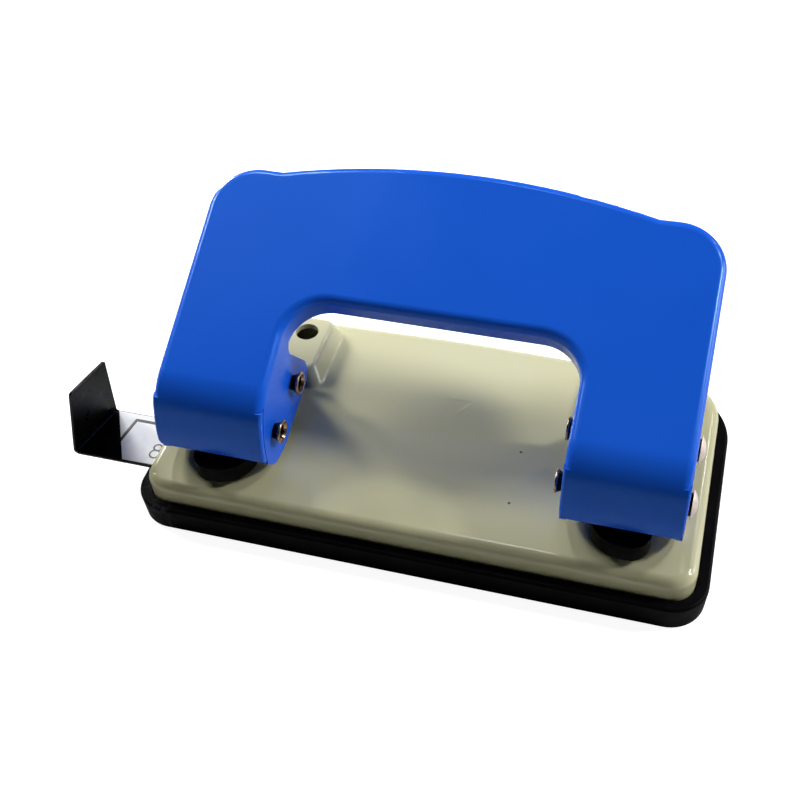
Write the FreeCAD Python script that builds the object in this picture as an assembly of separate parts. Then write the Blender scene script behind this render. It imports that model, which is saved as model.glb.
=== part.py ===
import FreeCAD, Part
import math
import os

from FreeCAD import Vector

# Compact two-hole desk paper punch.  Millimetres, +Z up, +X along the length of the machine.
# The origin is the centre of the flat underside of the chip tray.  Paper enters from -Y.

# ---- hole pattern -------------------------------------------------------------------------
hole_pitch = 80.0            # standard spacing of the two punched holes
hole_diameter = 5.5
punch_shift = 0.8            # the pair of punches sits this far right of the machine's middle

# ---- base plate, a pressed steel lid ------------------------------------------------------
plate_length = 110.2
plate_depth = 54.4
plate_top = 11.3             # height of the paper surface
plate_sheet = 1.2
plate_front_radius = 5.0
plate_back_radius = 10.0
plate_back_bow = 1.2         # the back edge bulges by this much
plate_bow_radius = 500.0
plate_edge_round = 2.0
skirt_bottom = 4.6

# ---- raised housings at the back of the plate ---------------------------------------------
hump_inner_foot = 27.0       # from the middle of the machine
hump_end_margin = 3.4        # outer foot to the end of the plate
hump_foot_front = 31.5       # from the front edge of the plate; the paper stops here
hump_back_margin = 3.0       # rear foot to the middle of the plate's back edge
hump_height = 3.7
hump_side_slope = 2.7
hump_front_slope = 3.0
hump_back_slope = 1.0
hump_corner_radius = 2.4
hump_edge_round = 1.3
hump_foot_round = 0.8
hump_hole = 5.0
hump_hole_inset = 7.4        # hole centre from the housing's inner foot
hump_hole_from_back = 9.0    # hole centre from the back edge of the plate
window_sill = 0.1            # the bracket's window starts this far behind the housing's foot

# ---- pressed triangle that marks the middle of the paper ----------------------------------
mark_width = 7.8
mark_length = 5.4
mark_back = 36.4             # from the front edge of the plate
mark_place = 1.9             # from the middle of the machine
mark_slope = 0.7             # width of the pressed edge
mark_depth = 0.16

# ---- chip tray ----------------------------------------------------------------------------
tray_rim = 6.2               # height of the rim
tray_rim_width = 2.4         # rim outside the plate's skirt
tray_end_extra = 0.2         # the rim is this much wider at the two ends
tray_floor = 1.3
tray_ledge = 1.3             # ledge that carries the skirt, inwards from the rim's wall
tray_fit = 0.25              # gap between skirt and rim
tray_seat_gap = 0.1
tray_corner_extra = 2.0      # rounder rear corners than the plate has
tray_draft = 0.3             # how far the walls lean in towards the bottom
tray_edge_round = 0.6

# ---- lever handle, one pressed sheet ------------------------------------------------------
handle_sheet = 1.2
leg_width = 22.5
leg_bottom = 18.2
leg_front = 4.5              # front face of the leg, from the front edge of the plate
leg_bend = 22.0              # height where the front face starts to lean back
knee_y = 6.9                 # from the front edge of the plate
knee_z = 31.5
knee_radius = 10.0
leg_bend_radius = 20.0
face_angle = 25.0            # slope of the pressing face above the horizontal
face_length = 50.4           # knee to the top of the legs, along the face
face_bow = 4.5               # the top edge rises by this much between the legs
shoulder_width = 13.6        # flat top of each leg before the bow starts, from the outside
shoulder_drop = 0.2
face_corner_radius = 9.6
bridge_bottom = 23.4         # lower edge of the bridge, along the face
window_corner_radius = 8.3
face_root = 0.5              # the face sheet starts this far above the knee's bend
flange_depth = 5.7
fold_radius = 1.8
seam_width = 0.3             # slit between the front flap and each ear
ear_toe_y = 8.9              # corners of the ear's lower edge, from the front edge of the plate
ear_toe_z = 13.3
ear_toe_radius = 4.2
ear_heel_y = 14.2
ear_heel_z = 12.7
ear_heel_radius = 7.0
ear_back_y = 29.9
ear_back_z = 17.4
ear_back_radius = 2.6
ear_neck_y = 30.5
ear_neck_z = 21.4
ear_neck_radius = 4.0
ear_notch = 13.9             # where the ear meets the flange, along the face from the knee
ear_notch_radius = 2.5
flap_top = 29.7              # height where the slit begins
flap_corner = 1.6            # outer lower corner of the front flap
flap_edge_round = 0.7        # its upright edges

# ---- pivots and punching stroke -----------------------------------------------------------
pivot_y = 11.3               # from the front edge of the plate
pivot_z = 20.8
drive_y = 22.7
drive_z = 23.0
press_angle = 17.0           # full stroke of the handle, degrees
rivet_diameter = 3.0
rivet_head = 5.8
rivet_head_height = 1.1
rivet_collar = 4.4
rivet_collar_height = 0.6
rivet_flare = 4.7            # rolled rim of the hollow end
rivet_flare_height = 0.5
rivet_rim_round = 0.22
rivet_neck = 4.3             # the trumpet behind the rim narrows from this to the shank
rivet_neck_length = 1.1
rivet_bore = 2.8             # hollow end, halfway down
rivet_bore_flare = 0.9       # it is this much wider at its mouth
rivet_bore_depth = 1.6
rivet_stand = 1.8            # the flared end stands this far off the ear
rivet_fit = 0.05

# ---- punch bracket, one strip folded round the paper gap -----------------------------------
bracket_inner = 6.6          # from the punch pin towards the middle of the machine
bracket_outer = 5.0          # from the punch pin towards the end
bracket_sheet = 1.6
bracket_nose = 1.9           # from the front edge of the plate
paper_gap = 1.8
nose_top = 16.9
nose_length = 5.9            # of the low part, in front of the pivot
nose_step_radius = 1.2
nose_outer_radius = 4.0      # seen from above, away from the middle of the machine
nose_inner_radius = 6.8
cheek_radius = 3.8           # round the pivot
cheek_corner = 3.5
cheek_dip = 1.6              # low part between the pivot and the bridge
cheek_dip_radius = 1.0
bridge_sheet = 1.2
bridge_half_length = 4.6
bridge_front_radius = 0.6
bridge_back_radius = 1.0
bracket_back_gap = 0.4       # back wall behind the paper stop
bracket_back_top = 17.5
bracket_back_radius = 2.0
jaw_front = 11.5             # from the front edge of the plate
jaw_corner = 2.5
slot_side_gap = 0.3

# ---- punch pin, die and return spring -----------------------------------------------------
pin_fit = 0.06
pin_lift = 0.3               # cutting edge above the paper gap at rest
pin_top = 35.0
pin_chamfer = 0.4
pin_groove_depth = 0.5
pin_slot_play = 0.35         # play of the drive rivet along Y in the pin
pin_notch = 0.9              # depth of the hollow ground cutting edge
die_diameter = 8.4
die_fit = 0.05
die_clearance = 0.04
die_land = 1.6               # length of the cutting bore
die_relief = 0.4
die_sink = 0.05
washer_diameter = 9.4
washer_sheet = 0.9
washer_z = 33.0
clip_sheet = 0.6
clip_diameter = 8.0
clip_mouth = 3.6
clip_play = 0.1              # of the clip in the pin's groove
spring_wire = 0.55
spring_diameter = 7.3
spring_turns = 4.0
seat_gap = 0.02

# ---- bracket rivets, countersunk on both sides --------------------------------------------
base_rivet_diameter = 2.4
base_rivet_head = 4.0
base_rivet_front = 15.6      # from the front edge of the plate
base_rivet_back = 29.3

# ---- paper guide --------------------------------------------------------------------------
guide_sheet = 0.6
guide_bottom = 6.6
guide_front = 7.2            # from the front edge of the plate
guide_width = 13.2
guide_stop = 72.4            # foot of the stop at the middle of the strip, inner face
guide_tail_margin = 7.6      # inner end of the strip to the end of the plate
guide_stop_height = 25.7
guide_stop_lean = 12.0
guide_stop_skew = 14.0       # the fold runs this many degrees off the strip's square
guide_stop_taper = 3.0       # the rear edge of the stop leans forward by this much
guide_bend_radius = 0.8
guide_corner = 1.5           # inner end of the strip
stop_corner = 0.6
guide_gap = 0.3
panel_sheet = 0.2
panel_inset = 0.3
panel_start = 2.4            # rear corner of the panel, from the foot of the stop
panel_skew = 6.6
panel_end = 4.0              # from the inner end of the strip
strap_sheet = 0.7
strap_width = 5.6
strap_gap = 0.8              # strap beside the left bracket
strap_foot = 3.2
strap_corner = 0.9

# ---- worked out values --------------------------------------------------------------------
front = -plate_depth / 2
leg_centre = hole_pitch / 2
pin_y = front + drive_y
pivot = (front + pivot_y, pivot_z)
drive = (front + drive_y, drive_z)
lever_arm = math.hypot(drive[0] - pivot[0], drive[1] - pivot[1])
lever_angle = math.atan2(drive[1] - pivot[1], drive[0] - pivot[0])
pressed_angle = lever_angle - math.radians(press_angle)
stroke = lever_arm * (math.sin(lever_angle) - math.sin(pressed_angle))
drive_swing = lever_arm * (1 - math.cos(lever_angle))
web_bottom = plate_top + paper_gap
web_top = web_bottom + bracket_sheet
pin_bottom = web_bottom + pin_lift
slot_radius = rivet_diameter / 2 + slot_side_gap
bridge_z = drive_z + slot_radius
bridge_top = bridge_z + bridge_sheet
back_wall_front = front + hump_foot_front + bracket_back_gap
bracket_back = back_wall_front + bracket_sheet
jaw_top = plate_top - plate_sheet
jaw_bottom = jaw_top - bracket_sheet
guide_top = guide_bottom + guide_sheet
guide_near = front + guide_front
guide_far = guide_near + guide_width
guide_tail = plate_length / 2 - guide_tail_margin
strap_place = punch_shift - leg_centre + bracket_inner + strap_gap + strap_width / 2
hump_outer_foot = plate_length / 2 - hump_end_margin
hump_foot_back = plate_depth - hump_back_margin
bow_lift = plate_bow_radius * (math.hypot(1, 2 * plate_back_bow / plate_length) - 1)
bow_half = leg_centre + leg_width / 2 - shoulder_width
bow_radius = (bow_half ** 2 + face_bow ** 2) / (2 * face_bow)
bow_corner = bow_half * math.tan(math.asin(bow_half / bow_radius))
face_up = Vector(0, math.cos(math.radians(face_angle)), math.sin(math.radians(face_angle)))
face_in = Vector(0, face_up.z, -face_up.y)
knee = Vector(0, front + knee_y, knee_z)
flap_lean = math.atan2(knee_y - leg_front, knee_z - leg_bend)
knee_turn = math.radians(90 - face_angle) - flap_lean


# ---- helpers ------------------------------------------------------------------------------
def box(x0, x1, y0, y1, z0, z1):
    return Part.makeBox(x1 - x0, y1 - y0, z1 - z0, Vector(x0, y0, z0))


def rod_x(x0, x1, y, z, diameter):
    return Part.makeCylinder(diameter / 2, x1 - x0, Vector(x0, y, z), Vector(1, 0, 0))


def rod_z(x, y, z0, z1, diameter):
    return Part.makeCylinder(diameter / 2, z1 - z0, Vector(x, y, z0), Vector(0, 0, 1))


def cone_z(x, y, z0, z1, diameter0, diameter1):
    return Part.makeCone(diameter0 / 2, diameter1 / 2, z1 - z0, Vector(x, y, z0), Vector(0, 0, 1))


def cone_x(x0, x1, y, z, diameter0, diameter1):
    return Part.makeCone(diameter0 / 2, diameter1 / 2, x1 - x0, Vector(x0, y, z), Vector(1, 0, 0))


def rounded_wire(corners, place):
    """Closed wire through corners (a, b, radius), each rounded; place turns (a, b) into a point."""
    count = len(corners)
    joints = []
    for i in range(count):
        a, b, radius = corners[i]
        here = Vector(a, b, 0)
        before = Vector(*corners[i - 1][:2], 0)
        after = Vector(*corners[(i + 1) % count][:2], 0)
        if radius == 0:
            joints.append((here, None, here))
            continue
        back = (before - here).normalize()
        ahead = (after - here).normalize()
        half = back.getAngle(ahead) / 2
        reach = radius / math.tan(half)
        middle = (back + ahead).normalize() * (radius / math.sin(half) - radius)
        joints.append((here + back * reach, here + middle, here + ahead * reach))
    edges = []
    for i in range(count):
        start, middle, end = joints[i]
        if middle is not None:
            edges.append(Part.Arc(place(start), place(middle), place(end)).toShape())
        following = joints[(i + 1) % count][0]
        if end.distanceToPoint(following) > 1e-6:
            edges.append(Part.LineSegment(place(end), place(following)).toShape())
    return Part.Wire(edges)


def slab(corners, z0, z1):
    wire = rounded_wire(corners, lambda p: Vector(p.x, p.y, z0))
    return Part.Face(wire).extrude(Vector(0, 0, z1 - z0))


def side_slab(corners, x0, x1):
    wire = rounded_wire(corners, lambda p: Vector(x0, p.x, p.y))
    return Part.Face(wire).extrude(Vector(x1 - x0, 0, 0))


def face_slab(corners, depth0, depth1):
    """Prism standing on the pressing face: corners are (x, distance up the face, radius)."""
    def place(p):
        return knee + Vector(p.x, 0, 0) + face_up * p.y + face_in * depth0
    return Part.Face(rounded_wire(corners, place)).extrude(face_in * (depth1 - depth0))


def loft(lower, z0, upper, z1):
    wires = [rounded_wire(lower, lambda p: Vector(p.x, p.y, z0)),
             rounded_wire(upper, lambda p: Vector(p.x, p.y, z1))]
    return Part.makeLoft(wires, True, True)


def edges_where(shape, test):
    found = []
    for edge in shape.Edges:
        low, high = edge.ParameterRange
        points = [edge.valueAt(low + (high - low) * k / 4) for k in range(5)]
        if all(test(p) for p in points):
            found.append(edge)
    return found


def fuse(shapes):
    whole = shapes[0]
    for shape in shapes[1:]:
        whole = whole.fuse(shape)
    return whole.removeSplitter()


def mirrored(shape):
    return shape.mirror(Vector(0, 0, 0), Vector(1, 0, 0))


def punch_x(side):
    return side * leg_centre + punch_shift


def bracket_sides(side):
    x = punch_x(side)
    return (x - bracket_inner, x + bracket_outer) if side > 0 else (x - bracket_outer, x + bracket_inner)


def export(name, shapes):
    solids = [solid for shape in shapes for solid in shape.Solids]
    whole = solids[0] if len(solids) == 1 else Part.makeCompound(solids)
    whole.exportStep("parts/" + name + ".step")


# ---- base plate ---------------------------------------------------------------------------
def plate_outline(offset, end_extra=0, corner_extra=0):
    side = plate_length / 2 + offset + end_extra
    near = front - offset
    far = -front + offset
    small = plate_front_radius + offset
    large = plate_back_radius + offset + corner_extra
    return [(-side, near, small), (side, near, small),
            (side, far - plate_back_bow, large), (0, far + bow_lift, plate_bow_radius),
            (-side, far - plate_back_bow, large)]


def hump(side, offset):
    """Raised housing behind one leg, grown outwards by offset."""
    inner = hump_inner_foot - offset
    outer = hump_outer_foot + offset
    near = front + hump_foot_front - offset
    far = front + hump_foot_back + offset
    small = hump_corner_radius + offset
    large = plate_back_radius - hump_end_margin + offset
    large = min(large, far - near - hump_front_slope - hump_back_slope - small - 0.5)
    foot = [(inner, near, small), (outer, near, small), (outer, far, large), (inner, far, small)]
    inner += hump_side_slope
    outer -= hump_back_slope
    near += hump_front_slope
    far -= hump_back_slope
    top = [(inner, near, small), (outer, near, small), (outer, far, large), (inner, far, small)]
    shape = loft(foot, plate_top - plate_sheet, top, plate_top + hump_height + offset)
    return shape if side > 0 else mirrored(shape)


def base_plate():
    outer = slab(plate_outline(0), skirt_bottom, plate_top)
    outer = outer.makeFillet(plate_edge_round, edges_where(outer, lambda p: p.z > plate_top - 0.01))
    for side in (-1, 1):
        outer = outer.fuse(hump(side, 0))
    outer = outer.removeSplitter()
    top = plate_top + hump_height
    outer = outer.makeFillet(hump_edge_round, edges_where(outer, lambda p: p.z > top - 0.01))
    foot_edges = edges_where(outer, lambda p: abs(p.z - plate_top) < 0.01
                             and abs(p.x) > hump_inner_foot - 0.5
                             and abs(p.x) < hump_outer_foot + 0.5
                             and p.y > front + hump_foot_front - 0.5)
    outer = outer.makeFillet(hump_foot_round, foot_edges)
    inside = plate_edge_round - plate_sheet
    inner = slab(plate_outline(-plate_sheet), skirt_bottom - 1, plate_top - plate_sheet)
    inner = inner.makeFillet(inside, edges_where(inner, lambda p: p.z > plate_top - plate_sheet - 0.01))
    for side in (-1, 1):
        inner = inner.fuse(hump(side, -plate_sheet))
    plate = outer.cut(inner)
    for side in (-1, 1):
        plate = plate.cut(bracket_opening(side))
        hole_x = side * (hump_inner_foot + hump_hole_inset)
        hole_y = -front - hump_hole_from_back
        plate = plate.cut(rod_z(hole_x, hole_y, plate_top, top + 1, hump_hole))
        x = punch_x(side)
        plate = plate.cut(rod_z(x, pin_y, jaw_top - 1, plate_top + 1, die_diameter + 2 * die_fit))
        for y in (base_rivet_front, base_rivet_back):
            plate = plate.cut(base_rivet_shape(x, front + y, rivet_fit))
    return plate.cut(guide_notch()).cut(centre_mark())


def mark_corners(inset):
    half = mark_width / 2
    back = front + mark_back
    turn = math.atan2(mark_length, half)
    run = inset / math.tan(turn / 2)
    tip = inset / math.cos(turn)
    return [(mark_place - half + run, back - inset, 0), (mark_place + half - run, back - inset, 0),
            (mark_place, back - mark_length + tip, 0)]


def centre_mark():
    """Shallow triangle with sloping edges, pointing to the paper's edge."""
    return loft(mark_corners(mark_slope), plate_top - mark_depth,
                mark_corners(-mark_slope), plate_top + mark_depth)


def bracket_opening(side):
    """Window in the front of the housing and slot in the plate for the bracket's back wall."""
    left, right = bracket_sides(side)
    far = bracket_back + slot_side_gap
    return box(left - slot_side_gap, right + slot_side_gap, front + hump_foot_front + window_sill, far,
               jaw_top - 1, plate_top + 2 * hump_height)


def base_rivet_shape(x, y, fit):
    """Shank with a conical head flush with the plate's top and another flush under the bracket."""
    thin = base_rivet_diameter + 2 * fit
    wide = base_rivet_head + 2 * fit
    sink = (base_rivet_head - base_rivet_diameter) / 2
    shank = rod_z(x, y, jaw_bottom, plate_top, thin)
    upper = cone_z(x, y, plate_top - sink, plate_top, thin, wide)
    lower = cone_z(x, y, jaw_bottom, jaw_bottom + sink, wide, thin)
    return fuse([shank, upper, lower])


def guide_notch():
    side = plate_length / 2
    return box(-side - 1, -side + 2 * plate_sheet, guide_near - guide_gap, guide_far + guide_gap,
               skirt_bottom - 1, guide_top + panel_sheet + guide_gap)


# ---- chip tray ----------------------------------------------------------------------------
def chip_tray():
    outer = loft(plate_outline(tray_rim_width - tray_draft, tray_end_extra, tray_corner_extra), 0,
                 plate_outline(tray_rim_width, tray_end_extra, tray_corner_extra), tray_rim)
    outer = outer.makeFillet(tray_edge_round, edges_where(outer, lambda p: p.z > tray_rim - 0.01)
                             + edges_where(outer, lambda p: p.z < 0.01))
    pocket = slab(plate_outline(tray_fit), skirt_bottom - tray_seat_gap, tray_rim + 1)
    well = slab(plate_outline(tray_fit - tray_ledge - plate_sheet), tray_floor, tray_rim)
    return outer.cut(pocket).cut(well)


# ---- lever handle -------------------------------------------------------------------------
def face_outline(inset):
    outside = leg_centre + leg_width / 2 - inset
    inside = leg_centre - leg_width / 2 + inset
    top = face_length - inset
    shoulder = leg_centre + leg_width / 2 - shoulder_width
    low = knee_radius * math.tan(knee_turn / 2) + face_root
    corner = face_corner_radius - inset
    window = window_corner_radius + inset
    sill = bridge_bottom + inset
    return [(-outside, low, 0), (-outside, top, corner), (-shoulder, top - shoulder_drop, 0),
            (0, top - shoulder_drop + bow_corner, 0.99 * bow_radius), (shoulder, top - shoulder_drop, 0),
            (outside, top, corner), (outside, low, 0),
            (inside, low, 0), (inside, sill, window), (-inside, sill, window), (-inside, low, 0)]


def on_face(distance, depth):
    point = knee + face_up * distance + face_in * depth
    return (point.y, point.z)


def leg_line(inset):
    """Side view of the flap and the knee, inset from their outer face."""
    y = front + leg_front + inset
    bend = leg_bend - inset * math.tan(flap_lean / 2)
    return [(y, leg_bottom, 0), (y, bend, leg_bend_radius - inset),
            (*on_face(inset * math.tan(knee_turn / 2), inset), knee_radius - inset)]


def ear_profile():
    """Side view of a leg: front flap, knee, pressing face and the ear that holds the rivets."""
    return [*leg_line(0),
            (*on_face(bridge_bottom, 0), 0),
            (*on_face(bridge_bottom, flange_depth), 0),
            (*on_face(ear_notch, flange_depth), ear_notch_radius),
            (front + ear_neck_y, ear_neck_z, ear_neck_radius),
            (front + ear_back_y, ear_back_z, ear_back_radius),
            (front + ear_heel_y, ear_heel_z, ear_heel_radius),
            (front + ear_toe_y, ear_toe_z, ear_toe_radius)]


def hood_profile():
    """Side view of the hollow inside a leg, open below."""
    inset = handle_sheet
    return [(front, 0, 0),
            (front, leg_bottom, 0),
            *leg_line(inset),
            (*on_face(face_length / 1.5, inset), 0),
            (*on_face(face_length / 1.5, plate_depth), 0),
            (front + 2 * plate_depth, 0, 0)]


def flap_layer(x, half, near, far):
    """Layer of the front flap between two depths behind its face, below the end of the slit."""
    profile = [*leg_line(near), (*on_face(bridge_bottom, near), 0), (*on_face(bridge_bottom, far), 0),
               *reversed(leg_line(far))]
    below = box(x - half, x + half, front - plate_depth, -front, 0, flap_top)
    return side_slab(profile, x - half, x + half).common(below)


def front_flap(x, side):
    half = leg_width / 2
    flap = flap_layer(x, half, 0, handle_sheet)
    corner = x + side * half
    foot = edges_where(flap, lambda p: abs(p.x - corner) < 0.01 and p.z < leg_bottom + 0.01)
    flap = flap.makeFillet(flap_corner, foot)
    skin = flap_layer(x, leg_width, -0.05, 0.05)
    uprights = edges_where(flap, lambda p: abs(abs(p.x - x) - half) < 0.01 and skin.isInside(p, 0.001, True))
    return flap.makeFillet(flap_edge_round, uprights)


def lever_handle():
    shells = [face_slab(face_outline(0), 0, flange_depth)]
    for side in (-1, 1):
        x = side * leg_centre
        shells.append(side_slab(ear_profile(), x - leg_width / 2, x + leg_width / 2))
    handle = fuse(shells)
    rim = edges_where(handle, lambda p: abs((p - knee).dot(face_in)) < 0.01)
    rim = [edge for edge in rim if (edge.CenterOfMass - knee).dot(face_up) > 2 * fold_radius]
    handle = handle.makeFillet(fold_radius, rim)
    handle = handle.cut(face_slab(face_outline(handle_sheet), handle_sheet, plate_depth))
    half = leg_width / 2 - handle_sheet
    for side in (-1, 1):
        x = side * leg_centre
        handle = handle.cut(side_slab(hood_profile(), x - half, x + half))
        ahead = flap_layer(x, leg_width, -1.0, handle_sheet + seam_width)
        below = box(x - leg_width, x + leg_width, front, front + leg_front + handle_sheet + seam_width,
                    0, leg_bottom)
        handle = handle.cut(ahead).cut(below).fuse(front_flap(x, side))
    handle = handle.removeSplitter()
    for y, z in (pivot, drive):
        handle = handle.cut(rod_x(-plate_length, plate_length, y, z, rivet_diameter + 2 * rivet_fit))
    return handle


# ---- punch bracket ------------------------------------------------------------------------
def cheek_profile():
    """Side view of the bracket's folded-up sides."""
    nose = front + bracket_nose
    back = nose + nose_length
    return [(nose, web_bottom, 0),
            (nose, nose_top, 0),
            (back, nose_top, nose_step_radius),
            (pivot[0] - cheek_radius, pivot[1] + cheek_radius, cheek_corner),
            (pin_y - bridge_half_length - cheek_dip, pivot[1] + cheek_radius, cheek_dip_radius),
            (pin_y - bridge_half_length, bridge_top, bridge_front_radius),
            (pin_y + bridge_half_length, bridge_top, bridge_back_radius),
            (bracket_back, bracket_back_top, bracket_back_radius),
            (bracket_back, web_bottom, 0)]


def nose_slab(side, inset, z0, z1):
    """Plan of the bracket, with the rounder corner of its nose towards the middle of the machine."""
    left, right = bracket_sides(side)
    left += inset
    right -= inset
    near = front + bracket_nose + inset
    far = bracket_back - inset
    outer = nose_outer_radius - inset
    inner = min(nose_inner_radius - inset, right - left - outer - 0.1)
    first, second = (inner, outer) if side > 0 else (outer, inner)
    return slab([(left, near, first), (right, near, second), (right, far, 0), (left, far, 0)], z0, z1)


def bracket(side):
    x = punch_x(side)
    left, right = bracket_sides(side)
    top = bridge_top + 1
    upper = side_slab(cheek_profile(), left, right)
    upper = upper.common(nose_slab(side, 0, web_bottom, top))
    hollow = nose_slab(side, bracket_sheet, web_top, top)
    keep = box(left, right, pin_y - bridge_half_length, pin_y + bridge_half_length, bridge_z, top)
    upper = upper.cut(hollow.cut(keep))
    wall = box(left, right, back_wall_front, bracket_back, jaw_bottom, web_top)
    jaw = slab([(left, front + jaw_front, jaw_corner), (right, front + jaw_front, jaw_corner),
                (right, bracket_back, 0), (left, bracket_back, 0)], jaw_bottom, jaw_top)
    whole = fuse([upper, wall, jaw])
    guide_bore = hole_diameter + 2 * pin_fit
    whole = whole.cut(rod_z(x, pin_y, web_bottom - 1, top, guide_bore))
    whole = whole.cut(rod_z(x, pin_y, jaw_bottom - 1, jaw_top + 1, die_diameter + 2 * die_fit))
    whole = whole.cut(rod_x(left - 1, right + 1, *pivot, rivet_diameter + 2 * rivet_fit))
    whole = whole.cut(drive_slot(left - 1, right + 1))
    for y in (base_rivet_front, base_rivet_back):
        whole = whole.cut(base_rivet_shape(x, front + y, rivet_fit))
    return whole


def drive_slot(x0, x1):
    """Upright slot in the cheeks, centred on the small swing of the drive rivet along Y."""
    y = drive[0] + drive_swing / 2
    low = drive[1] - stroke
    ends = [rod_x(x0, x1, y, z, 2 * slot_radius) for z in (low, drive[1])]
    return fuse([box(x0, x1, y - slot_radius, y + slot_radius, low, drive[1]), *ends])


def bracket_rivets(side):
    return [base_rivet_shape(punch_x(side), front + y, 0) for y in (base_rivet_front, base_rivet_back)]


# ---- punch pin, die and return spring -----------------------------------------------------
def die(side):
    x = punch_x(side)
    bore = hole_diameter + 2 * die_clearance
    top = plate_top - die_sink
    body = rod_z(x, pin_y, jaw_bottom, top, die_diameter)
    body = body.cut(rod_z(x, pin_y, jaw_bottom - 1, top + 1, bore))
    relief = rod_z(x, pin_y, jaw_bottom - 1, top - die_land, bore + 2 * die_relief)
    return body.cut(relief)


def punch_pin(side):
    x = punch_x(side)
    radius = hole_diameter / 2
    pin = rod_z(x, pin_y, pin_bottom, pin_top, hole_diameter)
    pin = pin.makeChamfer(pin_chamfer, edges_where(pin, lambda p: p.z > pin_top - 0.01))
    saddle = (radius ** 2 + pin_notch ** 2) / (2 * pin_notch)
    pin = pin.cut(rod_x(x - 2 * radius, x + 2 * radius, pin_y, pin_bottom + pin_notch - saddle, 2 * saddle))
    groove = rod_z(x, pin_y, washer_z + washer_sheet, washer_z + washer_sheet + clip_sheet + clip_play,
                   hole_diameter + 2)
    core = rod_z(x, pin_y, pin_bottom, pin_top, hole_diameter - 2 * pin_groove_depth)
    pin = pin.cut(groove.cut(core))
    height = rivet_diameter / 2 + rivet_fit
    reach = pin_slot_play
    ends = [rod_x(x - 2 * radius, x + 2 * radius, drive[0] + play, drive[1], 2 * height)
            for play in (-reach, reach)]
    middle = box(x - 2 * radius, x + 2 * radius, drive[0] - reach, drive[0] + reach,
                 drive[1] - height, drive[1] + height)
    return pin.cut(fuse([middle, *ends]))


def spring_washer(side):
    x = punch_x(side)
    ring = rod_z(x, pin_y, washer_z, washer_z + washer_sheet, washer_diameter)
    return ring.cut(rod_z(x, pin_y, washer_z - 1, washer_z + washer_sheet + 1, hole_diameter + 2 * rivet_fit))


def pin_clip(side):
    """Open ring in the pin's groove, its mouth towards the front."""
    x = punch_x(side)
    low = washer_z + washer_sheet + seat_gap
    bore = hole_diameter - 2 * pin_groove_depth + 2 * rivet_fit
    ring = rod_z(x, pin_y, low, low + clip_sheet, clip_diameter)
    ring = ring.cut(rod_z(x, pin_y, low - 1, low + clip_sheet + 1, bore))
    mouth = clip_mouth / 2
    return ring.cut(box(x - mouth, x + mouth, pin_y - clip_diameter, pin_y, low - 1, low + clip_sheet + 1))


def return_spring(side):
    x = punch_x(side)
    low = bridge_top + spring_wire / 2 + seat_gap
    high = washer_z - spring_wire / 2 - seat_gap
    coil = (spring_diameter - spring_wire) / 2
    helix = Part.makeHelix((high - low) / spring_turns, high - low, coil)
    start = helix.Edges[0].valueAt(helix.Edges[0].FirstParameter)
    ahead = helix.Edges[0].tangentAt(helix.Edges[0].FirstParameter)
    section = Part.Wire(Part.makeCircle(spring_wire / 2, start, ahead))
    spring = Part.Wire(helix.Edges).makePipeShell([section], True, True)
    spring.translate(Vector(x, pin_y, low))
    return spring


# ---- rivets through the legs --------------------------------------------------------------
def leg_rivet(side, y, z):
    """Domed head outside the outer ear, hollow flared end proud of the inner ear."""
    outer = leg_centre + leg_width / 2
    inner = leg_centre - leg_width / 2
    tip = inner - rivet_stand
    shank = rod_x(tip, outer, y, z, rivet_diameter)
    base = outer + rivet_collar_height
    cap = (rivet_head ** 2 / 4 + rivet_head_height ** 2) / (2 * rivet_head_height)
    dome = Part.makeSphere(cap, Vector(base + rivet_head_height - cap, y, z))
    dome = dome.common(rod_x(base, base + 2 * rivet_head_height, y, z, rivet_head))
    shank = shank.fuse(rod_x(outer, outer + seat_gap, y, z, rivet_diameter))
    shank = shank.fuse(rod_x(outer + seat_gap, base, y, z, rivet_collar))
    rim = tip + rivet_flare_height
    neck = cone_x(rim, rim + rivet_neck_length, y, z, rivet_neck, rivet_diameter)
    flare = rod_x(tip, rim, y, z, rivet_flare)
    rim_round = min(rivet_rim_round, 0.48 * rivet_flare_height)
    flare = flare.makeFillet(rim_round, flare.Edges[:1] + flare.Edges[2:])
    mouth = rivet_bore + rivet_bore_flare
    bore = cone_x(tip, tip + rivet_bore_depth, y, z, mouth, rivet_bore - rivet_bore_flare)
    rivet = fuse([shank, dome, neck, flare]).cut(bore)
    return rivet if side > 0 else mirrored(rivet)


# ---- paper guide --------------------------------------------------------------------------
def folded_strip():
    """Long strip with the leaning stop, its fold turned by the skew, before it is trimmed."""
    lean = math.radians(guide_stop_lean)
    shift = 2 * guide_stop_height * math.tan(lean)
    width = guide_sheet / math.cos(lean)
    top = guide_bottom + 2 * guide_stop_height
    reach = plate_length
    profile = [(reach, guide_bottom, 0), (reach, guide_top, 0),
               (0, guide_top, guide_bend_radius - guide_sheet / 2),
               (shift, top, 0), (shift - width, top, 0),
               (-width, guide_bottom, guide_bend_radius + guide_sheet / 2)]
    middle = (guide_near + guide_far) / 2
    wire = rounded_wire(profile, lambda p: Vector(p.x - guide_stop, middle - reach, p.y))
    sheet = Part.Face(wire).extrude(Vector(0, 2 * reach, 0))
    return sheet.rotate(Vector(-guide_stop, middle, 0), Vector(0, 0, 1), -guide_stop_skew)


def paper_guide():
    left = -guide_stop - guide_width
    rise = guide_stop_height - guide_top
    side = [(guide_near, guide_bottom, 0), (guide_far, guide_bottom, 0), (guide_far, guide_top, 0),
            (guide_far - guide_stop_taper, guide_top + rise, stop_corner),
            (guide_near, guide_top + rise, stop_corner)]
    plan = [(left, guide_near, 0), (guide_tail, guide_near, guide_corner),
            (guide_tail, guide_far, guide_corner), (left, guide_far, 0)]
    trim = side_slab(side, left, guide_tail + 1).common(slab(plan, 0, 2 * guide_stop_height))
    return folded_strip().common(trim)


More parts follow.
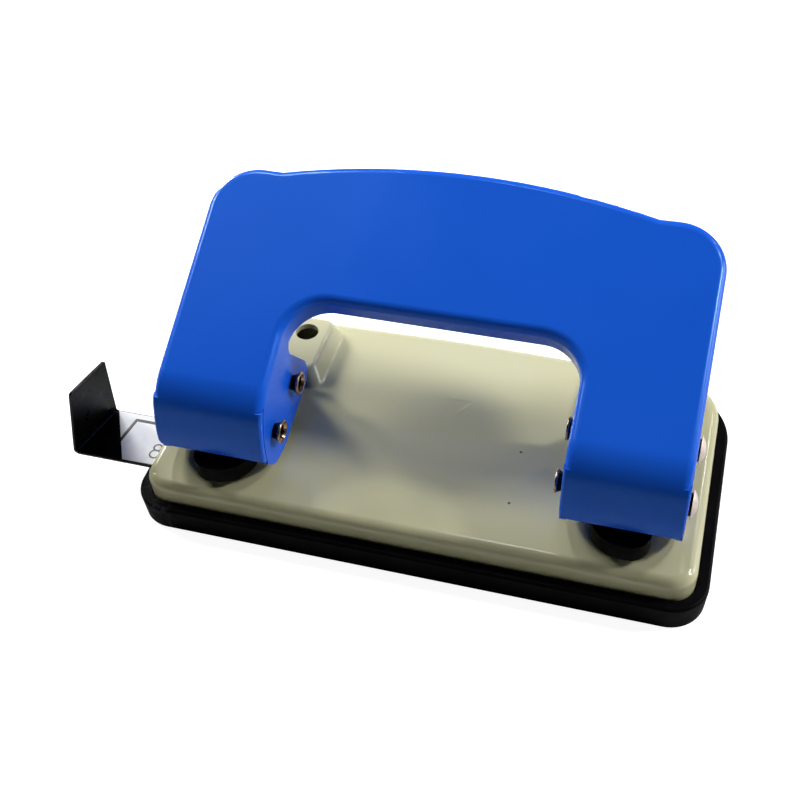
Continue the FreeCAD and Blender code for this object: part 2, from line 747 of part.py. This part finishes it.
def guide_panel():
    """Printed scale panel on the strip, its outer end cut on the slant."""
    near = guide_near + panel_inset
    far = guide_far - panel_inset
    start = panel_start - guide_stop
    end = guide_tail - panel_end
    corners = [(start + panel_skew, near, 0), (end, near, 0), (end, far, 0), (start, far, 0)]
    return slab(corners, guide_top, guide_top + panel_sheet)


def guide_strap(x):
    """Folded strap under the plate that the strip slides through."""
    low = guide_bottom - guide_gap - strap_sheet
    near = guide_near - guide_gap - strap_sheet
    far = guide_far + guide_gap + strap_sheet
    foot = strap_foot
    top = jaw_top
    inner = strap_corner - strap_sheet
    profile = [(near - foot, top, 0), (near - foot, top - strap_sheet, 0),
               (near, top - strap_sheet, inner), (near, low, strap_corner),
               (far, low, strap_corner), (far, top - strap_sheet, inner),
               (far + foot, top - strap_sheet, 0), (far + foot, top, 0),
               (far - strap_sheet, top, strap_corner), (far - strap_sheet, low + strap_sheet, inner),
               (near + strap_sheet, low + strap_sheet, inner), (near + strap_sheet, top, strap_corner)]
    return side_slab(profile, x - strap_width / 2, x + strap_width / 2)


# ---- run ----------------------------------------------------------------------------------
def build():
    os.makedirs("parts", exist_ok=True)
    export("base_plate", [base_plate()])
    export("chip_tray", [chip_tray()])
    export("lever_handle", [lever_handle()])
    for name, side in (("left", -1), ("right", 1)):
        export("bracket_" + name, [bracket(side)])
        export("bracket_rivets_" + name, bracket_rivets(side))
        export("die_" + name, [die(side)])
        export("punch_pin_" + name, [punch_pin(side)])
        export("spring_washer_" + name, [spring_washer(side)])
        export("pin_clip_" + name, [pin_clip(side)])
        export("return_spring_" + name, [return_spring(side)])
        export("pivot_rivet_" + name, [leg_rivet(side, *pivot)])
        export("drive_rivet_" + name, [leg_rivet(side, *drive)])
    export("paper_guide", [paper_guide()])
    export("guide_panel", [guide_panel()])
    export("guide_strap", [guide_strap(strap_place)])


build()
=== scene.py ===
import bpy
import math
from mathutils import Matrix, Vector


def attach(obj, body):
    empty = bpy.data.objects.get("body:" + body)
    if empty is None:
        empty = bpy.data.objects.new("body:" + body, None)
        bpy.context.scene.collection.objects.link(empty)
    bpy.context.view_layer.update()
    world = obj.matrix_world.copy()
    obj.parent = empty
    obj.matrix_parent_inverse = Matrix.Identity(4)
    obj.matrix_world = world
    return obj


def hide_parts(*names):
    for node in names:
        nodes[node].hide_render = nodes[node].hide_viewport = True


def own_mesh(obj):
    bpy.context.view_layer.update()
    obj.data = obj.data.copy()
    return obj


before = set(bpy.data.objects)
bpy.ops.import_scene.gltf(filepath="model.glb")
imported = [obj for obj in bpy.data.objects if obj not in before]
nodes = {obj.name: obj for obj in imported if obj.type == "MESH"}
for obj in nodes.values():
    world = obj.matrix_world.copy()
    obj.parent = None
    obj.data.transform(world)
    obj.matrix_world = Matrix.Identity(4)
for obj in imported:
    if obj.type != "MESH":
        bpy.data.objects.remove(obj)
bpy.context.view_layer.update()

WHITE = (1.0, 1.0, 1.0, 1.0)


# ---- camera -------------------------------------------------------------------------------
camera_data = bpy.data.cameras.new("camera")
camera_data.sensor_fit = "HORIZONTAL"
camera_data.sensor_width = 36.0
camera_data.lens = 52.74
camera_data.clip_start = 0.01
camera_data.clip_end = 20.0
camera = bpy.data.objects.new("camera", camera_data)
camera.location = (0.04601, -0.15544, 0.18997)
camera.rotation_mode = "XYZ"
camera.rotation_euler = [math.radians(turn) for turn in (43.647, 3.123, 15.829)]
bpy.context.scene.collection.objects.link(camera)
bpy.context.scene.camera = camera
bpy.context.scene.view_settings.view_transform = "Standard"


# ---- node helpers -------------------------------------------------------------------------
def srgb(r, g, b):
    """Linear colour of an sRGB value from 0 to 255."""
    def channel(v):
        v = v / 255.0
        return v / 12.92 if v <= 0.04045 else ((v + 0.055) / 1.055) ** 2.4
    return (channel(r), channel(g), channel(b), 1.0)


class Graph:
    """A material's node tree with a Principled shader; all patterns follow the object's metres."""

    def __init__(self, name):
        self.material = bpy.data.materials.new(name)
        self.material.use_nodes = True
        self.tree = self.material.node_tree
        self.tree.nodes.clear()
        out = self.add("ShaderNodeOutputMaterial")
        self.shader = self.add("ShaderNodeBsdfPrincipled")
        self.link(self.shader.outputs[0], out.inputs[0])
        self.place = self.add("ShaderNodeTexCoord").outputs["Object"]

    def add(self, kind, **values):
        node = self.tree.nodes.new(kind)
        for key, value in values.items():
            setattr(node, key, value)
        return node

    def link(self, a, b):
        self.tree.links.new(a, b)

    def put(self, value, socket):
        """Links a socket's output, or writes a plain value."""
        if hasattr(value, "is_output"):
            self.link(value, socket)
        else:
            socket.default_value = value

    def noise(self, scale, detail=3.0, rough=0.5, stretch=None):
        """Noise from 0 to 1; scale counts its waves per metre."""
        node = self.add("ShaderNodeTexNoise")
        where = self.place
        if stretch is not None:
            mapping = self.add("ShaderNodeMapping")
            mapping.inputs["Scale"].default_value = stretch
            self.link(where, mapping.inputs["Vector"])
            where = mapping.outputs[0]
        self.link(where, node.inputs["Vector"])
        node.inputs["Scale"].default_value = scale
        node.inputs["Detail"].default_value = detail
        node.inputs["Roughness"].default_value = rough
        return node.outputs["Fac"]

    def ramp(self, value, low, high, out_low=0.0, out_high=1.0):
        """Smooth step from out_low at low to out_high at high."""
        node = self.add("ShaderNodeMapRange", interpolation_type="SMOOTHSTEP")
        self.put(value, node.inputs["Value"])
        node.inputs["From Min"].default_value = low
        node.inputs["From Max"].default_value = high
        node.inputs["To Min"].default_value = out_low
        node.inputs["To Max"].default_value = out_high
        return node.outputs[0]

    def mix(self, fac, a, b):
        node = self.add("ShaderNodeMix", data_type="RGBA")
        self.put(fac, node.inputs[0])
        self.put(a, node.inputs[6])
        self.put(b, node.inputs[7])
        return node.outputs[2]

    def math(self, operation, a, b=0.0):
        node = self.add("ShaderNodeMath", operation=operation)
        self.put(a, node.inputs[0])
        self.put(b, node.inputs[1])
        return node.outputs[0]

    def axis(self, index):
        node = self.add("ShaderNodeSeparateXYZ")
        self.link(self.place, node.inputs[0])
        return node.outputs[index]

    def distance(self, point):
        """Distance from a point, in metres."""
        node = self.add("ShaderNodeVectorMath", operation="DISTANCE")
        self.link(self.place, node.inputs[0])
        node.inputs[1].default_value = point
        return node.outputs["Value"]

    def near(self, point, radius, blur):
        """1 within radius of a point, fading to 0 over blur."""
        return self.ramp(self.distance(point), radius, radius + blur, 1.0, 0.0)

    def bump(self, height, strength, distance):
        node = self.add("ShaderNodeBump")
        node.inputs["Strength"].default_value = strength
        node.inputs["Distance"].default_value = distance
        self.link(height, node.inputs["Height"])
        self.link(node.outputs[0], self.shader.inputs["Normal"])

    def set(self, **values):
        """Sets the shader's inputs; an underscore stands for a space in their names."""
        for key, value in values.items():
            self.put(value, self.shader.inputs[key.replace("_", " ")])


# ---- materials ----------------------------------------------------------------------------
PAINT_GRAIN = 420.0          # waves per metre of the paint's orange peel
PAINT_RELIEF = 0.0002
FINE_RELIEF = 0.0001
METAL_RELIEF = 0.00005


def handle_paint():
    """Glossy blue; its sheen keeps the colour of the paint."""
    g = Graph("handle_paint")
    mottle = g.ramp(g.noise(22.0), 0.3, 0.7)
    g.set(Base_Color=g.mix(mottle, srgb(27, 100, 234), srgb(31, 104, 240)))
    g.set(Roughness=g.ramp(g.noise(90.0, 2.0), 0.3, 0.7, 0.20, 0.24))
    g.set(IOR=1.45, Specular_Tint=(0.35, 0.70, 1.0, 1.0))
    g.bump(g.noise(PAINT_GRAIN, 2.0), 0.05, PAINT_RELIEF)
    return g.material


FLECKS = ((0.0178, -0.0024, 0.0113), (0.0182, -0.0157, 0.0113))
FLECK_RADIUS = 0.00016
FLECK_BLUR = 0.00022
FLECK_DEPTH = 0.85


def plate_paint():
    """Glossy cream with two dark flecks."""
    g = Graph("plate_paint")
    cloud = g.ramp(g.noise(18.0, 3.0), 0.3, 0.7)
    colour = g.mix(cloud, srgb(210, 206, 163), srgb(214, 211, 171))
    for point in FLECKS:
        fleck = g.near(point, FLECK_RADIUS, FLECK_BLUR)
        colour = g.mix(g.math("MULTIPLY", fleck, FLECK_DEPTH), colour, srgb(52, 44, 30))
    g.set(Base_Color=colour)
    g.set(Roughness=g.ramp(g.noise(90.0, 2.0), 0.3, 0.7, 0.11, 0.14))
    g.set(IOR=1.5)
    g.bump(g.noise(PAINT_GRAIN, 2.0), 0.02, PAINT_RELIEF)
    return g.material


SCUFFED_CORNER = (-0.0560, -0.0290, 0.0040)
SCUFF_RADIUS = 0.003
SCUFF_BLUR = 0.008


def black_plastic():
    """Matt black with pale wear, most of it at the left front corner."""
    g = Graph("black_plastic")
    cloud = g.ramp(g.noise(60.0, 5.0), 0.35, 0.7)
    colour = g.mix(cloud, srgb(6, 5, 8), srgb(12, 11, 15))
    corner = g.near(SCUFFED_CORNER, SCUFF_RADIUS, SCUFF_BLUR)
    scuff = g.ramp(g.noise(420.0, 6.0, 0.7, (1.0, 1.0, 0.5)), 0.50, 0.66)
    wear = g.ramp(g.noise(300.0, 6.0, 0.7, (1.0, 1.0, 0.35)), 0.66, 0.76, 0.0, 0.15)
    amount = g.math("MAXIMUM", g.math("MULTIPLY", corner, scuff), wear)
    g.set(Base_Color=g.mix(amount, colour, srgb(66, 64, 70)))
    g.set(Roughness=g.ramp(g.noise(180.0, 4.0), 0.3, 0.7, 0.34, 0.50))
    g.set(Specular_IOR_Level=0.05)
    g.bump(g.noise(1500.0, 2.0), 0.12, FINE_RELIEF)
    return g.material


def metal(name, dark, light, rough, grain=(1.0, 1.0, 1.0)):
    """Bare metal, streaked along the axis where grain is short."""
    scale = 700.0
    g = Graph(name)
    streak = g.ramp(g.noise(scale, 3.0, 0.5, grain), 0.35, 0.65)
    g.set(Base_Color=g.mix(streak, dark, light))
    polish = g.noise(scale * 0.6, 2.0, 0.5, grain)
    g.set(Roughness=g.ramp(polish, 0.3, 0.7, rough * 0.8, rough * 1.25))
    g.set(Metallic=1.0)
    g.bump(g.noise(scale * 2.0, 2.0), 0.06, METAL_RELIEF)
    return g.material


def black_enamel(name, specular, rough):
    """Thin black paint of the brackets and of the paper guide."""
    g = Graph(name)
    cloud = g.ramp(g.noise(90.0, 4.0), 0.35, 0.7)
    g.set(Base_Color=g.mix(cloud, srgb(6, 6, 8), srgb(13, 12, 13)))
    g.set(Roughness=g.ramp(g.noise(300.0, 3.0), 0.3, 0.7, rough * 0.85, rough * 1.2))
    g.set(Specular_IOR_Level=specular)
    g.bump(g.noise(1300.0, 2.0), 0.08, FINE_RELIEF)
    return g.material


RIM_END = 0.02744            # the rolled rims lie nearer to the middle than this
HEAD_START = 0.05182         # the domed heads lie farther out than this
FINISH_CHANGE = 0.00006


def rivet_metal():
    """Pinkish nickel heads and bronze rolled rims inside the legs; the collars against the ears
    carry painted shade, dark as the gaps under the heads and behind the rims.
    """
    g = Graph("rivet_metal")
    across = g.math("ABSOLUTE", g.axis(0))
    rim = g.ramp(across, RIM_END, RIM_END + FINISH_CHANGE, 1.0, 0.0)
    head = g.ramp(across, HEAD_START, HEAD_START + FINISH_CHANGE)
    spots = g.ramp(g.noise(900.0, 4.0), 0.4, 0.65)
    bright = g.mix(spots, srgb(248, 232, 218), srgb(236, 218, 204))
    bronze = g.mix(spots, srgb(206, 172, 148), srgb(158, 122, 96))
    # painted shade: the collars and shanks between the ears and the heads or rims are coloured
    # near-black to stand for the shadow in those gaps
    colour = g.mix(spots, srgb(26, 22, 22), srgb(38, 32, 30))
    colour = g.mix(head, colour, bright)
    g.set(Base_Color=g.mix(rim, colour, bronze))
    polish = g.ramp(g.noise(1200.0, 3.0), 0.3, 0.7, 0.20, 0.30)
    g.set(Roughness=g.math("ADD", polish, g.math("MULTIPLY", head, 0.2)))
    g.set(Metallic=g.math("SUBTRACT", 1.0, g.math("MULTIPLY", head, 0.5)))
    g.bump(g.noise(2500.0, 2.0), 0.06, METAL_RELIEF)
    return g.material


PANEL_FRONT = -0.0272        # Y of the panel's front edge
PANEL_TOP = 0.0074
FRAME_LINE = PANEL_FRONT + 0.0184
FRAME_START = -0.0652
FIELD_LINES = (-0.0650, -0.0415, -0.0180, 0.0055)
LINE_LEAN = 0.17             # X per metre of Y of the lines between the fields
HALF_LINE = 0.00034
LINE_BLUR = 0.00008
EDGE_BLUR = 0.00005
FRAME_OVERLAP = 0.0003       # the field lines end this far past the frame line's middle
DIGITS = 3
FIRST_DIGIT = 0.0078
DIGIT_STEP = 0.0030
DIGIT_RINGS = ((0.0103, 0.00105), (0.0121, 0.00085))   # height over the front edge, radius
RING_HALF_LINE = 0.00014


def panel_print():
    """White panel with a thin black frame and plain figures that name a paper format."""
    g = Graph("panel_print")

    def band(value, centre):
        away = g.math("ABSOLUTE", g.math("SUBTRACT", value, centre))
        return g.ramp(away, HALF_LINE, HALF_LINE + LINE_BLUR, 1.0, 0.0)

    def beyond(value, limit):
        return g.ramp(value, limit - EDGE_BLUR, limit + EDGE_BLUR)

    def ring(centre, radius):
        away = g.math("ABSOLUTE", g.math("SUBTRACT", g.distance(centre), radius))
        return g.ramp(away, RING_HALF_LINE, RING_HALF_LINE + LINE_BLUR, 1.0, 0.0)

    x = g.axis(0)
    y = g.axis(1)
    lean = g.math("MULTIPLY", g.math("SUBTRACT", y, FRAME_LINE), LINE_LEAN)
    leaning = g.math("SUBTRACT", x, lean)
    below = g.math("SUBTRACT", 1.0, beyond(y, FRAME_LINE + FRAME_OVERLAP))
    ink = g.math("MULTIPLY", band(y, FRAME_LINE), beyond(leaning, FRAME_START))
    for place in FIELD_LINES:
        ink = g.math("MAXIMUM", ink, g.math("MULTIPLY", band(leaning, place), below))
        for digit in range(DIGITS):
            middle = place + FIRST_DIGIT + DIGIT_STEP * digit
            for height, radius in DIGIT_RINGS:
                centre = (middle, PANEL_FRONT + height, PANEL_TOP)
                ink = g.math("MAXIMUM", ink, ring(centre, radius))
    grime = g.ramp(g.noise(260.0, 5.0), 0.50, 0.75, 0.0, 0.45)
    paper = g.mix(grime, srgb(246, 246, 243), srgb(214, 214, 210))
    g.set(Base_Color=g.mix(ink, paper, srgb(16, 16, 20)))
    g.set(Roughness=g.ramp(g.noise(900.0), 0.3, 0.7, 0.35, 0.5))
    return g.material


FLOOR_GLOW = 0.93


def floor_material():
    """Pale matt floor that reads as a white ground and keeps the shadow."""
    g = Graph("floor_pale")
    rays = g.add("ShaderNodeLightPath")
    seen = g.math("MAXIMUM", rays.outputs["Is Camera Ray"], rays.outputs["Is Transmission Ray"])
    fine = g.ramp(g.noise(12.0, 2.0), 0.3, 0.7)
    g.set(Base_Color=g.mix(fine, (0.62, 0.62, 0.61, 1.0), (0.64, 0.64, 0.63, 1.0)))
    g.set(Roughness=0.9, Specular_IOR_Level=0.0)
    g.set(Emission_Color=WHITE)
    g.set(Emission_Strength=g.math("MULTIPLY", seen, FLOOR_GLOW))
    return g.material


PAINT = handle_paint()
CREAM = plate_paint()
PLASTIC = black_plastic()
DARK = black_enamel("bracket_black", 0.05, 0.6)
STEEL = metal("pin_steel", srgb(150, 150, 152), srgb(190, 190, 192), 0.25, (1.0, 1.0, 0.15))
SPRING = metal("spring_steel", srgb(120, 118, 116), srgb(160, 158, 155), 0.3)
ZINC = metal("zinc_steel", srgb(140, 140, 138), srgb(170, 170, 166), 0.4)
RIVET = rivet_metal()
GUIDE = black_enamel("guide_black", 0.12, 0.3)
PANEL = panel_print()

# The first entry that a node's name starts with gives its finish.
FINISHES = (
    ("lever_handle", PAINT),
    ("base_plate", CREAM),
    ("chip_tray", PLASTIC),
    ("paper_guide", GUIDE),
    ("guide_panel", PANEL),
    ("bracket_rivets", ZINC),
    ("bracket_", DARK),
    ("die_", STEEL),
    ("punch_pin", STEEL),
    ("spring_washer", ZINC),
    ("pin_clip", SPRING),
    ("return_spring", SPRING),
    ("pivot_rivet", RIVET),
    ("drive_rivet", RIVET),
    ("guide_strap", ZINC),
)


# ---- smooth shading of the solids ---------------------------------------------------------
SMOOTH_ANGLE = math.radians(42)
SAME_POINT = 1e-6


def shading_group():
    """Joins the faces and shades them smooth, apart from edges sharper than SMOOTH_ANGLE."""
    group = bpy.data.node_groups.new("smooth_faces", "GeometryNodeTree")
    for way in ("INPUT", "OUTPUT"):
        group.interface.new_socket("Geometry", in_out=way, socket_type="NodeSocketGeometry")
    start = group.nodes.new("NodeGroupInput")
    end = group.nodes.new("NodeGroupOutput")
    merge = group.nodes.new("GeometryNodeMergeByDistance")
    merge.inputs["Distance"].default_value = SAME_POINT
    faces = group.nodes.new("GeometryNodeSetShadeSmooth")
    edges = group.nodes.new("GeometryNodeSetShadeSmooth")
    faces.domain = "FACE"
    edges.domain = "EDGE"
    faces.inputs["Shade Smooth"].default_value = True
    angle = group.nodes.new("GeometryNodeInputMeshEdgeAngle")
    compare = group.nodes.new("FunctionNodeCompare")
    compare.data_type = "FLOAT"
    compare.operation = "LESS_THAN"
    compare.inputs[1].default_value = SMOOTH_ANGLE
    group.links.new(start.outputs[0], merge.inputs["Geometry"])
    group.links.new(merge.outputs[0], faces.inputs["Geometry"])
    group.links.new(faces.outputs[0], edges.inputs["Geometry"])
    group.links.new(angle.outputs["Unsigned Angle"], compare.inputs[0])
    group.links.new(compare.outputs[0], edges.inputs["Shade Smooth"])
    group.links.new(edges.outputs[0], end.inputs[0])
    return group


smooth_faces = shading_group()


def dress(thing, material):
    """Gives an object its finish and its smooth shading."""
    thing.data.materials.clear()
    thing.data.materials.append(material)
    smooth = thing.modifiers.new("smooth_faces", "NODES")
    smooth.node_group = smooth_faces
    weighted = thing.modifiers.new("weighted_normal", "WEIGHTED_NORMAL")
    weighted.mode = "FACE_AREA"
    weighted.weight = 90
    weighted.keep_sharp = True


for name, thing in nodes.items():
    dress(thing, next(finish for start, finish in FINISHES if name.startswith(start)))


# ---- return springs -----------------------------------------------------------------------
def shortening_coil(side):
    """A copy of the coil that rides with its punch, in place of the model's own coil, which is
    hidden.
    """
    node = "return_spring_" + side
    coil = bpy.data.objects.new("coil_" + side, nodes[node].data.copy())
    bpy.context.scene.collection.objects.link(coil)
    dress(coil, SPRING)
    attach(coil, "punch_" + side)
    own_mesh(coil)
    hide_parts(node)


shortening_coil("left")
shortening_coil("right")


# ---- floor and light ----------------------------------------------------------------------
FLOOR_REACH = 4.0
FLOOR_Z = -0.0002            # just under the tray's feet
LIT_POINT = Vector((0.0, 0.0, 0.02))


def floor():
    corners = [(x * FLOOR_REACH, y * FLOOR_REACH, FLOOR_Z)
               for x, y in ((-1, -1), (1, -1), (1, 1), (-1, 1))]
    mesh = bpy.data.meshes.new("floor")
    mesh.from_pydata(corners, [], [(0, 1, 2, 3)])
    mesh.materials.append(floor_material())
    thing = bpy.data.objects.new("floor", mesh)
    bpy.context.scene.collection.objects.link(thing)


def disk_light(name, slope_x, slope_y, power, reach=0.8, width=0.10, height=None):
    """Oval lamp that faces the object; the slopes are its offset per metre of height."""
    data = bpy.data.lights.new(name, "AREA")
    data.shape = "ELLIPSE"
    data.size = width
    data.size_y = height or width
    data.energy = power
    lamp = bpy.data.objects.new(name, data)
    away = Vector((slope_x, slope_y, 1.0)).normalized()
    lamp.location = LIT_POINT + away * reach
    lamp.rotation_mode = "QUATERNION"
    lamp.rotation_quaternion = away.to_track_quat("Z", "Y")
    bpy.context.scene.collection.objects.link(lamp)


floor()
disk_light("left_low", -2.2, 1.6, 0.80, 0.35, 0.08)
disk_light("left", -1.5, 0.4, 2.0, 0.8, 0.12)
disk_light("left_top", -0.55, 0.56, 0.24, 0.35, 0.05)
disk_light("top", -0.1, 0.4, 0.35)
disk_light("right_top", 0.8, 0.53, 1.35)
disk_light("right", 1.3, 0.35, 2.5)
disk_light("right_low", 4.0, 1.8, 1.6, 0.8, 0.3)
disk_light("sheen", -0.50, 0.15, 0.24, 0.8, 0.35)
disk_light("glint", 0.85, 1.15, 0.4, 0.8, 0.035, 0.16)


SKY_AT_HORIZON = 0.02
SKY_OVERHEAD = 0.01


def studio_world():
    """Even sky, weaker overhead; pure white where the camera sees it."""
    world = bpy.data.worlds.new("studio")
    bpy.context.scene.world = world
    world.use_nodes = True
    tree = world.node_tree
    tree.nodes.clear()
    out = tree.nodes.new("ShaderNodeOutputWorld")
    sky = tree.nodes.new("ShaderNodeBackground")
    white = tree.nodes.new("ShaderNodeBackground")
    pick = tree.nodes.new("ShaderNodeMixShader")
    paths = tree.nodes.new("ShaderNodeLightPath")
    place = tree.nodes.new("ShaderNodeTexCoord")
    split = tree.nodes.new("ShaderNodeSeparateXYZ")
    level = tree.nodes.new("ShaderNodeMapRange")
    level.inputs["From Min"].default_value = 0.1
    level.inputs["From Max"].default_value = 0.8
    level.inputs["To Min"].default_value = SKY_AT_HORIZON
    level.inputs["To Max"].default_value = SKY_OVERHEAD
    tree.links.new(place.outputs["Generated"], split.inputs[0])
    tree.links.new(split.outputs["Z"], level.inputs["Value"])
    tree.links.new(level.outputs[0], sky.inputs["Strength"])
    white.inputs["Strength"].default_value = 1.0
    for background in (sky, white):
        background.inputs["Color"].default_value = WHITE
    tree.links.new(paths.outputs["Is Camera Ray"], pick.inputs[0])
    tree.links.new(sky.outputs[0], pick.inputs[1])
    tree.links.new(white.outputs[0], pick.inputs[2])
    tree.links.new(pick.outputs[0], out.inputs[0])


studio_world()
